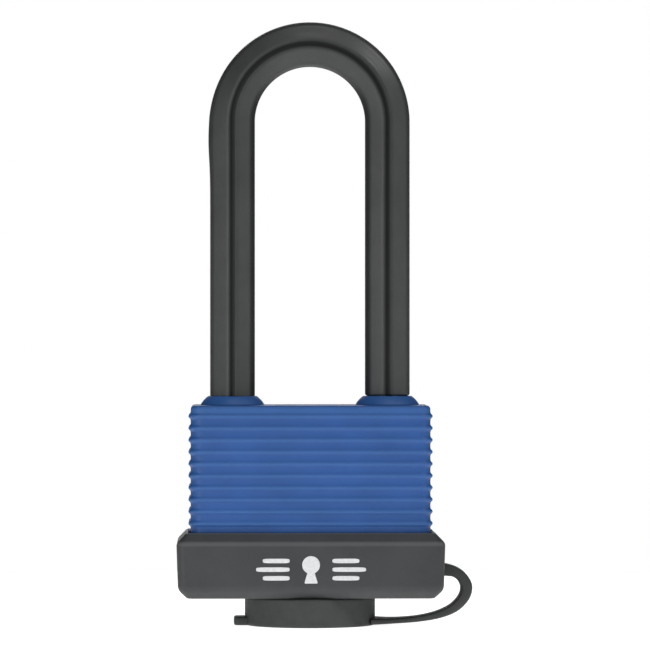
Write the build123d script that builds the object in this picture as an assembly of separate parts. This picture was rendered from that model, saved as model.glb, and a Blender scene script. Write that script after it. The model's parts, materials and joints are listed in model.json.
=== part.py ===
from build123d import *
import os
from math import pi, sqrt

# A weather-protected padlock with a long shackle: a solid brass body in a ribbed vinyl jacket, a
# moulded base cover with a keyway collar, a rubber cap on a tether, and a steel shackle in a vinyl
# sleeve. Frame: +Z up, +X towards the toe leg and the tether, -Y towards the front face. The origin
# is the centre of the cap's flat underside, on the axis of the key plug.
#
# Everything is drawn with the shackle home and the key plug at its open stop, so both latch bolts
# are drawn in. Turning the plug by PLUG_TURN about -Z drives the bolts out into the leg notches.

# ---- Shackle -----------------------------------------------------------------------------------
LEG_SPACING = 30.8        # between the axes of the two legs
ROD_DIAMETER = 6.5        # hardened steel bar
CLEAR_HEIGHT = 67.25     # jacket top to the inside of the sleeved crown
LEG_END_CHAMFER = 0.6
SLEEVE_WALL = 1.15
SLEEVE_FIT = 0.05         # sleeve bore to bar, on the radius
SLEEVE_END_ROUND = 0.45
SLEEVE_TOE_GAP = 0.15     # sleeve end above the toe collar
SLEEVE_HEEL_GAP = 0.3     # sleeve end above the brass body, inside the heel collar

# ---- Brass body ---------------------------------------------------------------------------------
BODY_SIDE_WALL = 3.45     # outside the leg bores
BODY_FACE_WALL = 2.45     # in front of and behind the plug bore
BODY_CORNER = 0.8
BODY_ROOF = 2.55          # over the latch channel
LEG_FIT = 0.1             # leg to bore, on the radius

# ---- Key plug and pin stacks --------------------------------------------------------------------
PLUG_DIAMETER = 13.0
PLUG_FIT = 0.05           # on the radius
PLUG_RECESS = 0.2         # plug face above the body's underside
PLUG_TURN = 90.0          # degrees between the open stop and locked
KEYWAY_WIDTH = 2.2
KEYWAY_HEIGHT = 8.2
KEYWAY_WARD = 0.6         # depth of the side groove that the key's milling fits
PIN_COUNT = 5
PIN_PITCH = 4.0
FIRST_PIN_DEPTH = 5.2     # body underside to the first pin
PIN_DIAMETER = 2.9
PIN_FIT = 0.05            # on the radius
PIN_CONE = 0.8            # length of a key pin's pointed end
KEY_PIN_LENGTHS = [3.2, 4.4, 3.8, 4.8, 3.5]
DRIVER_LENGTH = 4.2
PIN_SPRING_WIRE = 0.35
CHAMBER_PLUG_LENGTH = 2.0
RETAINER_DIAMETER = 1.8   # cross pin that holds the plug in
RETAINER_HEIGHT = 2.2     # its axis above the body's underside
RETAINER_GROOVE = 1.0     # depth of the plug's groove

# ---- Latch --------------------------------------------------------------------------------------
LATCH_DIAMETER = 5.2
LATCH_FIT = 0.05          # bolt to channel, on the radius
LATCH_BITE = 1.3          # how far a bolt reaches into a leg when locked
LATCH_RETRACT = 0.2       # how far a drawn bolt clears the leg
LATCH_NOSE_CHAMFER = 0.5
NOTCH_CLEARANCE = 0.15
CAM_PIN_DIAMETER = 1.3
CAM_SLOT_PLAY = 0.08      # each side of a cam pin in its slot
CAM_THICKNESS = 2.2
CAM_TENON = 0.9           # height of the cam's key in the plug
CAM_TENON_WIDTH = 3.0
TONGUE_GAP = 0.15         # each tongue's flat face from the lock's mid plane
TONGUE_END = 1.4          # metal beyond the slot
LATCH_SPRING_CLOSED = 2.2
LATCH_SPRING_DIAMETER = 2.0
LATCH_SPRING_WIRE = 0.35
TOE_WALL = 1.6            # brass between the last pin chamber and the toe bore
TOE_GAP = 0.4             # toe leg's end above its bore's floor
TOE_TAIL = 1.5            # steel below the toe notch

# ---- Heel leg and its retainer ------------------------------------------------------------------
HEEL_FLOOR = 2.0          # brass below the heel bore
HEEL_BULB = 2.4           # full-diameter end below the swing neck
HEEL_PIN_DIAMETER = 2.5
HEEL_PIN_BITE = 0.9       # how far the pin reaches into the leg's flat
HEEL_PIN_DROP = 2.2       # below the latch axis
HEEL_PIN_CLEARANCE = 0.1  # pin to the bottom of the flat
HEEL_STOP_GAP = 0.2       # bulb to pin at full lift
SHACKLE_SPRING_WIRE = 0.7
SWING_CLEARANCE = 0.5     # toe leg's end above its collar at full lift
CROSS_PIN_SETBACK = 0.2   # cross pins' ends below the body's back face
PRESS_FIT = 0.02          # drawn gap round a part that is pressed in
BLIND_GAP = 0.4           # cross pin's hole past its inner end

# ---- Jacket -------------------------------------------------------------------------------------
JACKET_WALL = 1.4
JACKET_ROOF = 1.6
JACKET_FIT = 0.05
JACKET_CORNER = 2.2
JACKET_TOP_ROUND = 0.6
COLLAR_HEIGHT = 1.8       # raised collar round each leg
COLLAR_BASE = 1.95        # collar foot beyond the sleeve, on the radius
COLLAR_RIM = 0.4          # collar top beyond the sleeve, on the radius
COLLAR_ROUND = 0.35
SLEEVE_SLIDE_FIT = 0.1    # heel collar to sleeve, on the radius
LEG_WIPE_FIT = 0.15       # toe collar to bare bar, on the radius
RIB_HEIGHT = 0.45
RIB_WIDTH = 1.2
RIB_PITCH = 2.35
FIRST_RIB_DROP = 2.1      # top rib below the jacket's top
LAST_RIB_MARGIN = 1.3     # lowest rib's axis above the base cover

# ---- Base cover ---------------------------------------------------------------------------------
COVER_HEIGHT = 12.95
COVER_FLOOR = 2.2
COVER_SIDE_LIP = 2.75     # wall outside the jacket, left and right
COVER_FACE_LIP = 3.25     # wall outside the jacket, front and back
COVER_SIDE_DRAFT = 0.4    # each side draws in by this much from top to bottom
COVER_TOP_CHAMFER = 2.0
COVER_BASE_CHAMFER = 1.8
COVER_CORNER = 1.2
COVER_FIT = 0.1
JACKET_SEAT = 5.4         # how far the jacket reaches down into the cover
SNAP_DEPTH = 0.4          # rib in the cover that clicks into a groove in the body
SNAP_WIDTH = 16.0
SNAP_HEIGHT = 1.0
SNAP_RISE = 3.4           # above the body's underside
KEY_PORT_MARGIN = 2.1     # port beyond the plug, on the radius
KEY_COLLAR_WALL = 2.0
KEY_COLLAR_LENGTH = 3.2

# ---- Keyway cap and tether ----------------------------------------------------------------------
CAP_HEIGHT = 5.65
CAP_SEAT_GAP = 0.1        # rim to the cover's underside
CAP_FLOOR = 1.5
CAP_RIM = 2.2
CAP_FIT = 0.1
CAP_BASE_ROUND = 0.5
SPIGOT_WALL = 1.4
SPIGOT_LENGTH = 2.6
TAB_LENGTH = 2.2          # beyond the cap's rim
TAB_WIDTH = 7.0
TAB_CORNER = 1.0
TETHER_WIDTH = 6.0
TETHER_THICKNESS = 1.8
TETHER_RISE = 5.35        # anchor's axis above the cover's underside
TETHER_REACH = 5.0        # loop's outermost centreline beyond the cover
TETHER_NECK = 2.0         # height of the strap where it passes the cover's wall
TETHER_FIT = 0.1
ANCHOR_HEIGHT = 3.0
ANCHOR_WIDTH = 8.4
ANCHOR_LENGTH = 1.4
ANCHOR_GAP = 0.2          # anchor's head to the brass body

# ---- Sizes and places that follow ----------------------------------------------------------------
leg_x = LEG_SPACING / 2
rod_radius = ROD_DIAMETER / 2
leg_bore_radius = rod_radius + LEG_FIT
sleeve_bore_radius = rod_radius + SLEEVE_FIT
sleeve_radius = sleeve_bore_radius + SLEEVE_WALL
plug_radius = PLUG_DIAMETER / 2
plug_bore_radius = plug_radius + PLUG_FIT
pin_radius = PIN_DIAMETER / 2
chamber_radius = pin_radius + PIN_FIT
latch_radius = LATCH_DIAMETER / 2
channel_radius = latch_radius + LATCH_FIT
cam_pin_radius = CAM_PIN_DIAMETER / 2
heel_pin_radius = HEEL_PIN_DIAMETER / 2
retainer_radius = RETAINER_DIAMETER / 2

cover_z = CAP_HEIGHT + CAP_SEAT_GAP
cover_top = cover_z + COVER_HEIGHT
body_z = cover_z + COVER_FLOOR
pin_heights = [body_z + FIRST_PIN_DEPTH + i * PIN_PITCH for i in range(PIN_COUNT)]
toe_floor = pin_heights[-1] + chamber_radius + TOE_WALL
toe_end = toe_floor + TOE_GAP
latch_z = toe_end + TOE_TAIL + latch_radius + NOTCH_CLEARANCE
cam_space_top = latch_z - latch_radius / 2
body_top = latch_z + channel_radius + BODY_ROOF
jacket_top = body_top + JACKET_ROOF
collar_top = jacket_top + COLLAR_HEIGHT
arch_z = jacket_top + CLEAR_HEIGHT - (leg_x - sleeve_radius)
shackle_lift = collar_top - toe_end + SWING_CLEARANCE

body_width = 2 * (leg_x + leg_bore_radius + BODY_SIDE_WALL)
body_depth = 2 * (plug_bore_radius + BODY_FACE_WALL)
jacket_width = body_width + 2 * (JACKET_FIT + JACKET_WALL)
jacket_depth = body_depth + 2 * (JACKET_FIT + JACKET_WALL)
jacket_z = cover_top - JACKET_SEAT
cover_width = jacket_width + 2 * (COVER_FIT + COVER_SIDE_LIP)
cover_depth = jacket_depth + 2 * (COVER_FIT + COVER_FACE_LIP)

latch_travel = LATCH_BITE + LATCH_RETRACT
latch_tip = leg_x - rod_radius - LATCH_RETRACT            # a drawn bolt's nose, along X
notch_floor = rod_radius - LATCH_BITE - NOTCH_CLEARANCE   # from the leg's axis
cam_throw = latch_travel / sqrt(2)                        # cam pins turn from -45 to +45 degrees
cam_offset = latch_travel / 2                             # each cam pin's X and Y at either stop
cam_slot = CAM_PIN_DIAMETER + 2 * CAM_SLOT_PLAY
cam_top = latch_z - channel_radius
plug_top = cam_top - CAM_THICKNESS
tongue_end = cam_offset + cam_slot / 2 + TONGUE_END       # past the axis, on the far side
latch_shoulder = tongue_end + LATCH_SPRING_CLOSED

heel_pin_x = leg_x + rod_radius + heel_pin_radius - HEEL_PIN_BITE
heel_pin_z = latch_z - HEEL_PIN_DROP
heel_flat = rod_radius - HEEL_PIN_BITE - HEEL_PIN_CLEARANCE    # from the leg's axis
neck_radius = notch_floor
neck_bottom = heel_pin_z - heel_pin_radius - HEEL_STOP_GAP - shackle_lift
neck_top = latch_z + latch_radius + NOTCH_CLEARANCE - shackle_lift
heel_end = neck_bottom - HEEL_BULB
heel_floor = body_z + HEEL_FLOOR

key_port_radius = plug_bore_radius + KEY_PORT_MARGIN
key_collar_radius = key_port_radius + KEY_COLLAR_WALL
cap_bore_radius = key_collar_radius + CAP_FIT
cap_radius = cap_bore_radius + CAP_RIM
spigot_radius = key_port_radius - CAP_FIT
tether_z = cover_z + TETHER_RISE


# ---- Shapes used more than once -------------------------------------------------------------------
def rod_along(axis, radius, start, end, place):
    """A round bar along X, Y or Z from start to end; place is any point (x, y, z) on its axis."""
    turn = {"X": Rot(0, 90, 0), "Y": Rot(-90, 0, 0), "Z": Rot(0, 0, 0)}[axis]
    centre = list(place)
    centre["XYZ".index(axis)] = (start + end) / 2
    return Pos(*centre) * turn * Cylinder(radius, end - start)


def block(x, y, z):
    """A box between two places along each axis."""
    size = [b - a for a, b in (x, y, z)]
    return Pos(*[(a + b) / 2 for a, b in (x, y, z)]) * Box(*size)


def rounded_block(width, depth, corner, low, high):
    """An upright prism on the lock's axis with rounded vertical corners."""
    return Pos(0, 0, low) * extrude(RectangleRounded(width, depth, corner), amount=high - low)


def u_bar(radius, heel_low, toe_low):
    """A round bar bent over the arch, its legs reaching down to the two heights."""
    arch_plane = Plane(origin=(leg_x, 0, arch_z), x_dir=(1, 0, 0), z_dir=(0, 0, 1))
    arch = revolve(arch_plane * Circle(radius), Axis((0, 0, arch_z), (0, -1, 0)), 180)
    toe = rod_along("Z", radius, toe_low, arch_z, (leg_x, 0, 0))
    heel = rod_along("Z", radius, heel_low, arch_z, (-leg_x, 0, 0))
    return arch + toe + heel


def spring_turns(length, wire):
    """Turns that leave a gap of about a quarter of the wire between the coils."""
    return max(2, int(length / (1.25 * wire)) - 1)


def coil_spring(wire, diameter, length, turns):
    """A compression spring along +Z between 0 and its length."""
    helix = Helix((length - wire) / turns, length - wire, (diameter - wire) / 2)
    section = Plane(origin=helix @ 0, z_dir=helix % 0) * Circle(wire / 2)
    return Pos(0, 0, wire / 2) * sweep(section, path=helix, is_frenet=True)


# ---- Shackle --------------------------------------------------------------------------------------
def make_shackle():
    bar = u_bar(rod_radius, heel_end, toe_end)
    bar = chamfer(bar.edges().filter_by(GeomType.CIRCLE).group_by(Axis.Z)[0], LEG_END_CHAMFER)
    toe_ring = [e for e in bar.edges().filter_by(GeomType.CIRCLE) if abs(e.center().Z - toe_end) < 0.01]
    bar = chamfer(toe_ring, LEG_END_CHAMFER)
    notch = rod_along("X", latch_radius + NOTCH_CLEARANCE, 0, leg_x - notch_floor, (0, 0, latch_z))
    flat_top = heel_pin_z + heel_pin_radius + HEEL_STOP_GAP
    flat_x = -(leg_x + heel_flat)
    flat = block((flat_x - rod_radius, flat_x), (-rod_radius, rod_radius), (neck_bottom, flat_top))
    neck = rod_along("Z", rod_radius + LEG_FIT, neck_bottom, neck_top, (-leg_x, 0, 0))
    neck -= rod_along("Z", neck_radius, neck_bottom, neck_top, (-leg_x, 0, 0))
    return bar - notch - Rot(0, 0, 180) * notch - flat - neck


def make_shackle_sleeve():
    heel_low = body_top + SLEEVE_HEEL_GAP
    toe_low = collar_top + SLEEVE_TOE_GAP
    skin = u_bar(sleeve_radius, heel_low, toe_low)
    ends = [e for e in skin.edges().filter_by(GeomType.CIRCLE) if e.center().Z < toe_low + 0.01]
    skin = fillet(ends, SLEEVE_END_ROUND)
    return skin - u_bar(sleeve_bore_radius, heel_low, toe_low)


# ---- Brass body -----------------------------------------------------------------------------------
def make_lock_body():
    body = rounded_block(body_width, body_depth, BODY_CORNER, body_z, body_top)
    side = body_width / 2
    back = body_depth / 2
    body -= rod_along("Z", plug_bore_radius, body_z, cam_space_top, (0, 0, 0))
    body -= rod_along("Z", leg_bore_radius, toe_floor, body_top, (leg_x, 0, 0))
    body -= rod_along("Z", leg_bore_radius, heel_floor, body_top, (-leg_x, 0, 0))
    body -= rod_along("X", channel_radius, -leg_x, side, (0, 0, latch_z))
    for z in pin_heights:
        body -= rod_along("X", chamber_radius, 0, side, (0, 0, z))
    for radius, length, x, z in (heel_retainer_place(), plug_retainer_place()):
        inner = back - CROSS_PIN_SETBACK - length - BLIND_GAP
        body -= rod_along("Y", radius + PRESS_FIT, inner, back, (x, 0, z))
    groove = SNAP_DEPTH + COVER_FIT
    low = body_z + SNAP_RISE - COVER_FIT
    high = low + SNAP_HEIGHT + 2 * COVER_FIT
    half = SNAP_WIDTH / 2 + COVER_FIT
    for y in ((back - groove, back), (-back, -back + groove)):
        body -= block((-half, half), y, (low, high))
    return body


def heel_retainer_place():
    """Radius, length, X and Z of the cross pin beside the heel leg; it runs back from the leg's far side."""
    return heel_pin_radius, body_depth / 2 - CROSS_PIN_SETBACK + leg_bore_radius, -heel_pin_x, heel_pin_z


def plug_retainer_place():
    """Radius, length, X and Z of the cross pin that lies in the plug's groove."""
    length = body_depth / 2 - CROSS_PIN_SETBACK + plug_radius / 2
    return retainer_radius, length, -plug_radius, body_z + RETAINER_HEIGHT


def make_cross_pin(place):
    radius, length, x, z = place
    outer = body_depth / 2 - CROSS_PIN_SETBACK
    pin = rod_along("Y", radius, outer - length, outer, (x, 0, z))
    return chamfer(pin.edges().filter_by(GeomType.CIRCLE), radius * 0.2)


def make_channel_plug():
    """The pressed-in disc that closes the latch channel beyond the toe bore."""
    inner = leg_x + leg_bore_radius + LEG_FIT
    return rod_along("X", channel_radius - PRESS_FIT, inner, body_width / 2, (0, 0, latch_z))


def make_chamber_plugs():
    """One pressed-in disc in the mouth of each pin chamber."""
    side = body_width / 2
    radius = chamber_radius - PRESS_FIT
    return Compound([rod_along("X", radius, side - CHAMBER_PLUG_LENGTH, side, (0, 0, z)) for z in pin_heights])


# ---- Key plug, cam and pins -----------------------------------------------------------------------
# At the open stop the plug's own chambers point to +Y; locked, they face the body's chambers at +X.
def make_plug():
    low = body_z + PLUG_RECESS
    plug = rod_along("Z", plug_radius, low, plug_top, (0, 0, 0))
    plug = chamfer(plug.edges().filter_by(GeomType.CIRCLE).group_by(Axis.Z)[0], PLUG_RECESS)
    half = KEYWAY_WIDTH / 2
    keyway_top = pin_heights[-1] + chamber_radius
    near, far = KEYWAY_HEIGHT / 2, -KEYWAY_HEIGHT / 2
    plug -= block((-half, half), (far, near), (low, keyway_top))
    plug -= block((half, half + KEYWAY_WARD), (far / 4, near / 4), (low, keyway_top))
    plug -= block((-half - KEYWAY_WARD, -half), (far, far / 2), (low, keyway_top))
    deepest = plug_radius - max(KEY_PIN_LENGTHS) - PIN_FIT
    for z in pin_heights:
        plug -= rod_along("Y", chamber_radius, deepest, plug_radius, (0, 0, z))
    groove_half = retainer_radius + PIN_FIT
    middle = body_z + RETAINER_HEIGHT
    ring = rod_along("Z", plug_radius + 1, middle - groove_half, middle + groove_half, (0, 0, 0))
    ring -= rod_along("Z", plug_radius - RETAINER_GROOVE, middle - groove_half, middle + groove_half, (0, 0, 0))
    tenon_half = CAM_TENON_WIDTH / 2 + PLUG_FIT
    slot = block((-plug_radius, plug_radius), (-tenon_half, tenon_half), (plug_top - CAM_TENON, plug_top))
    return plug - ring - slot


def make_cam():
    """A disc keyed to the plug's inner end, with two off-centre pins that work the latch bolts."""
    disc = rod_along("Z", plug_radius, plug_top, cam_top - LATCH_FIT, (0, 0, 0))
    half = CAM_TENON_WIDTH / 2
    tenon = block((-plug_radius, plug_radius), (-half, half), (plug_top - CAM_TENON + PLUG_FIT, plug_top))
    cam = disc + tenon & rod_along("Z", plug_radius, plug_top - CAM_TENON, cam_top, (0, 0, 0))
    for x, y in ((-cam_offset, cam_offset), (cam_offset, -cam_offset)):
        cam += rod_along("Z", cam_pin_radius, plug_top, latch_z + latch_radius / 2, (x, y, 0))
    return cam


def make_key_pin(index):
    """A pin in the plug: round outer end at the shear line, pointed end where the key's cut would be."""
    length = KEY_PIN_LENGTHS[index % len(KEY_PIN_LENGTHS)]
    outer = plug_radius - PIN_FIT
    inner = outer - length
    barrel = rod_along("Y", pin_radius, inner + PIN_CONE, outer, (0, 0, pin_heights[index]))
    point = Pos(0, inner + PIN_CONE / 2, pin_heights[index]) * Rot(90, 0, 0)
    barrel += point * Cone(pin_radius, pin_radius * 0.3, PIN_CONE)
    return barrel & rod_along("Z", outer, body_z, plug_top, (0, 0, 0))


def make_driver_pin(index):
    inner = plug_bore_radius + PIN_FIT
    pin = rod_along("X", pin_radius, inner, inner + DRIVER_LENGTH, (0, 0, pin_heights[index]))
    return chamfer(pin.edges().filter_by(GeomType.CIRCLE), pin_radius * 0.2)


def make_pin_spring(index):
    inner = plug_bore_radius + PIN_FIT + DRIVER_LENGTH
    length = body_width / 2 - CHAMBER_PLUG_LENGTH - inner
    turns = int(length / (2.2 * PIN_SPRING_WIRE))
    spring = coil_spring(PIN_SPRING_WIRE, PIN_DIAMETER - 2 * PIN_FIT, length, turns)
    return Pos(inner, 0, pin_heights[index]) * Rot(0, 90, 0) * spring


# ---- Latch bolts ----------------------------------------------------------------------------------
def make_toe_latch():
    """A round bolt whose half-round tongue reaches past the axis, with a slot for one cam pin."""
    bolt = rod_along("X", latch_radius, latch_shoulder, latch_tip, (0, 0, latch_z))
    bolt = chamfer(bolt.edges().filter_by(GeomType.CIRCLE).group_by(Axis.X)[-1], LATCH_NOSE_CHAMFER)
    tongue = rod_along("X", latch_radius, -tongue_end, latch_shoulder, (0, 0, latch_z))
    low, high = latch_z - latch_radius, latch_z + latch_radius
    tongue &= block((-tongue_end, latch_shoulder), (TONGUE_GAP, latch_radius), (low, high))
    depth = cam_throw + cam_pin_radius + CAM_SLOT_PLAY
    slot = block((-cam_offset - cam_slot / 2, -cam_offset + cam_slot / 2), (0, depth), (low, high))
    return bolt + tongue - slot


def make_latch_spring(side):
    """A small spring between one bolt's tongue and the other bolt's shoulder; side is +1 behind, -1 in front."""
    turns = spring_turns(LATCH_SPRING_CLOSED, LATCH_SPRING_WIRE)
    spring = coil_spring(LATCH_SPRING_WIRE, LATCH_SPRING_DIAMETER, LATCH_SPRING_CLOSED, turns)
    y = -(TONGUE_GAP + latch_radius) / 2
    spring = Pos(tongue_end, y, latch_z) * Rot(0, 90, 0) * spring
    return spring if side < 0 else Rot(0, 0, 180) * spring


def make_shackle_spring():
    """The spring below the heel leg, pressed short while the shackle is home."""
    length = heel_end - heel_floor
    turns = spring_turns(length, SHACKLE_SPRING_WIRE)
    spring = coil_spring(SHACKLE_SPRING_WIRE, ROD_DIAMETER - 2 * LEG_FIT, length, turns)
    return Pos(-leg_x, 0, heel_floor) * spring


# ---- Jacket ---------------------------------------------------------------------------------------
def rib_heights():
    """As many ribs as fit between the first one and the base cover."""
    first = jacket_top - FIRST_RIB_DROP
    count = int((first - cover_top - LAST_RIB_MARGIN) / RIB_PITCH) + 1
    return [first - i * RIB_PITCH for i in range(count)]


def make_rib(z):
    """A round bead whose crest stands RIB_HEIGHT out of the wall and meets it over RIB_WIDTH."""
    radius = (RIB_WIDTH**2 / 4 + RIB_HEIGHT**2) / (2 * RIB_HEIGHT)
    inset = radius - RIB_HEIGHT
    width = jacket_width - 2 * inset
    depth = jacket_depth - 2 * inset
    outline = Pos(0, 0, z) * RectangleRounded(width, depth, JACKET_CORNER - inset)
    path = outline.wire()
    section = Plane(origin=path @ 0, z_dir=path % 0) * Circle(radius)
    return sweep(section, path=path)


def leg_collar(x):
    foot = sleeve_radius + COLLAR_BASE
    top = sleeve_radius + COLLAR_RIM
    cone = Pos(x, 0, jacket_top + COLLAR_HEIGHT / 2) * Cone(foot, top, COLLAR_HEIGHT)
    return fillet(cone.edges().filter_by(GeomType.CIRCLE).group_by(Axis.Z)[-1], COLLAR_ROUND)


def make_body_jacket():
    jacket = rounded_block(jacket_width, jacket_depth, JACKET_CORNER, jacket_z, jacket_top)
    jacket = fillet(jacket.faces().sort_by(Axis.Z)[-1].edges(), JACKET_TOP_ROUND)
    for z in rib_heights():
        jacket += make_rib(z)
    jacket += leg_collar(-leg_x) + leg_collar(leg_x)
    fit = 2 * JACKET_FIT
    jacket -= rounded_block(body_width + fit, body_depth + fit, BODY_CORNER, jacket_z, body_top)
    jacket -= rod_along("Z", sleeve_radius + SLEEVE_SLIDE_FIT, body_top, collar_top, (-leg_x, 0, 0))
    jacket -= rod_along("Z", rod_radius + LEG_WIPE_FIT, body_top, collar_top, (leg_x, 0, 0))
    return jacket


# ---- Base cover -----------------------------------------------------------------------------------
def cover_outline(half_width, draft):
    """The cover seen from one side: chamfered above and below, drawn in by draft towards the bottom."""
    top, base = COVER_TOP_CHAMFER, COVER_BASE_CHAMFER
    low = half_width - draft
    right = [
        (low - base, cover_z),
        (low, cover_z + base),
        (half_width, cover_top - top),
        (half_width - top, cover_top),
    ]
    left = [(-x, z) for x, z in reversed(right)]
    return make_face(Polyline(*right, *left, close=True))


def make_base_cover():
    front_view = Plane.XZ * cover_outline(cover_width / 2, COVER_SIDE_DRAFT)
    side_view = Plane.YZ * cover_outline(cover_depth / 2, 0)
    cover = extrude(front_view, amount=cover_depth, both=True)
    cover &= extrude(side_view, amount=cover_width, both=True)
    uprights = [e for e in cover.edges() if abs(e.tangent_at(0).Z) > 0.99]
    cover = fillet(uprights, COVER_CORNER)
    fit = 2 * COVER_FIT
    cover -= rounded_block(jacket_width + fit, jacket_depth + fit, JACKET_CORNER, jacket_z - COVER_FIT, cover_top)
    cover -= rounded_block(body_width + fit, body_depth + fit, BODY_CORNER, body_z, cover_top)
    cover += rod_along("Z", key_collar_radius, cover_z - KEY_COLLAR_LENGTH, body_z, (0, 0, 0))
    cover -= rod_along("Z", key_port_radius, cover_z - KEY_COLLAR_LENGTH, body_z, (0, 0, 0))
    low = body_z + SNAP_RISE
    face = body_depth / 2 + COVER_FIT
    for y in ((face - SNAP_DEPTH, face), (-face, -face + SNAP_DEPTH)):
        cover += block((-SNAP_WIDTH / 2, SNAP_WIDTH / 2), y, (low, low + SNAP_HEIGHT))
    return cover - tether_passage()


def tether_passage():
    """The slot through the cover's wall and the pocket inside it for the tether's anchor."""
    inner = body_width / 2
    head_end = inner + ANCHOR_GAP + ANCHOR_LENGTH + TETHER_FIT
    half = ANCHOR_WIDTH / 2 + TETHER_FIT
    rise = ANCHOR_HEIGHT / 2 + TETHER_FIT
    pocket = block((inner, head_end), (-half, half), (tether_z - rise, tether_z + rise))
    half = TETHER_WIDTH / 2 + TETHER_FIT
    rise = TETHER_NECK / 2 + TETHER_FIT
    slot = block((inner, cover_width), (-half, half), (tether_z - rise, tether_z + rise))
    return pocket + slot


# ---- Keyway cap and tether ------------------------------------------------------------------------
def make_keyway_cap():
    """A rubber cup that grips the key collar outside and seals its port inside, with a pull tab."""
    cup = rod_along("Z", cap_radius, 0, CAP_HEIGHT, (0, 0, 0))
    cup = fillet(cup.edges().filter_by(GeomType.CIRCLE).group_by(Axis.Z)[0], CAP_BASE_ROUND)
    tab = Pos(-(cap_radius + TAB_LENGTH) / 2, 0) * RectangleRounded(cap_radius + TAB_LENGTH, TAB_WIDTH, TAB_CORNER)
    cup += extrude(tab, amount=CAP_FLOOR)
    cup -= rod_along("Z", cap_bore_radius, CAP_FLOOR, CAP_HEIGHT, (0, 0, 0))
    top = CAP_FLOOR + SPIGOT_LENGTH
    spigot = rod_along("Z", spigot_radius, CAP_FLOOR, top, (0, 0, 0))
    spigot -= rod_along("Z", spigot_radius - SPIGOT_WALL, CAP_FLOOR, top, (0, 0, 0))
    return cup + spigot


def make_cap_tether():
    """A flat strap from the cap's rim out and up in a loop to a headed anchor in the cover's wall."""
    wall = cover_width / 2
    neck_start = body_width / 2 + ANCHOR_GAP + ANCHOR_LENGTH
    reach = wall + TETHER_REACH
    half = TETHER_THICKNESS / 2
    start = (neck_start, tether_z)
    bend = (wall + 1.0, tether_z)
    outmost = (reach - half, tether_z - 3.2)
    low = (cap_radius + 0.62 * (wall - cap_radius), half + 0.7)
    end = (cap_radius - CAP_RIM / 2, half)
    neck = Line(start, bend)
    over = TangentArc(bend, outmost, tangent=(1, 0))
    under = TangentArc(outmost, low, tangent=over % 1)
    tail = TangentArc(low, end, tangent=under % 1)
    route = Wire([neck, over, under, tail])
    strap = extrude(Plane.XZ * trace(route, TETHER_THICKNESS), amount=TETHER_WIDTH / 2, both=True)
    head_low = body_width / 2 + ANCHOR_GAP
    rise = ANCHOR_HEIGHT / 2
    width = ANCHOR_WIDTH / 2
    head = block((head_low, neck_start), (-width, width), (tether_z - rise, tether_z + rise))
    rim = rod_along("Z", cap_radius, 0, CAP_HEIGHT, (0, 0, 0))
    return strap + head - rim


# ---- Build and write ------------------------------------------------------------------------------
def parts():
    nodes = {
        "shackle": make_shackle(),
        "shackle_sleeve": make_shackle_sleeve(),
        "lock_body": make_lock_body(),
        "body_jacket": make_body_jacket(),
        "base_cover": make_base_cover(),
        "keyway_cap": make_keyway_cap(),
        "cap_tether": make_cap_tether(),
        "key_plug": make_plug(),
        "latch_cam": make_cam(),
        "toe_latch": make_toe_latch(),
        "heel_latch": Rot(0, 0, 180) * make_toe_latch(),
        "latch_spring_front": make_latch_spring(-1),
        "latch_spring_rear": make_latch_spring(1),
        "latch_channel_plug": make_channel_plug(),
        "shackle_spring": make_shackle_spring(),
        "heel_retaining_pin": make_cross_pin(heel_retainer_place()),
        "plug_retaining_pin": make_cross_pin(plug_retainer_place()),
        "pin_chamber_plugs": make_chamber_plugs(),
    }
    for i in range(PIN_COUNT):
        nodes[f"key_pin_{i + 1}"] = make_key_pin(i)
        nodes[f"driver_pin_{i + 1}"] = make_driver_pin(i)
        nodes[f"pin_spring_{i + 1}"] = make_pin_spring(i)
    return nodes


os.makedirs("parts", exist_ok=True)
for name, shape in parts().items():
    export_step(shape, f"parts/{name}.step")

print(f"shackle lift {shackle_lift:.2f} mm, latch travel {latch_travel:.2f} mm over {PLUG_TURN:.0f} degrees")
print(f"latch ratio {latch_travel / 1000 / (PLUG_TURN * pi / 180):.9f} m/rad")
print(f"body {body_width:.2f} x {body_depth:.2f} mm, z {body_z:.2f} to {body_top:.2f}, jacket top {jacket_top:.2f}")
print(f"cover {cover_width:.2f} x {cover_depth:.2f} mm, z {cover_z:.2f} to {cover_top:.2f}, cap radius {cap_radius:.2f}")
print(f"arch centre {arch_z:.2f}, overall height {arch_z + leg_x + sleeve_radius:.2f} mm")
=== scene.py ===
# %% [markdown]
# # A weather-protected padlock
#
# A padlock for outdoor use is a brass lock in a rain suit: a ribbed blue vinyl jacket over the body,
# a vinyl sleeve over the steel shackle, a black moulded cover over the bottom, and a rubber cap over
# the keyway, held by a strap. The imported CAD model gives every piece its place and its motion. This
# lesson gives the pieces their finished shapes and surfaces, one at a time.

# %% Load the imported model
import json
from math import cos, pi, radians, sin

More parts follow.
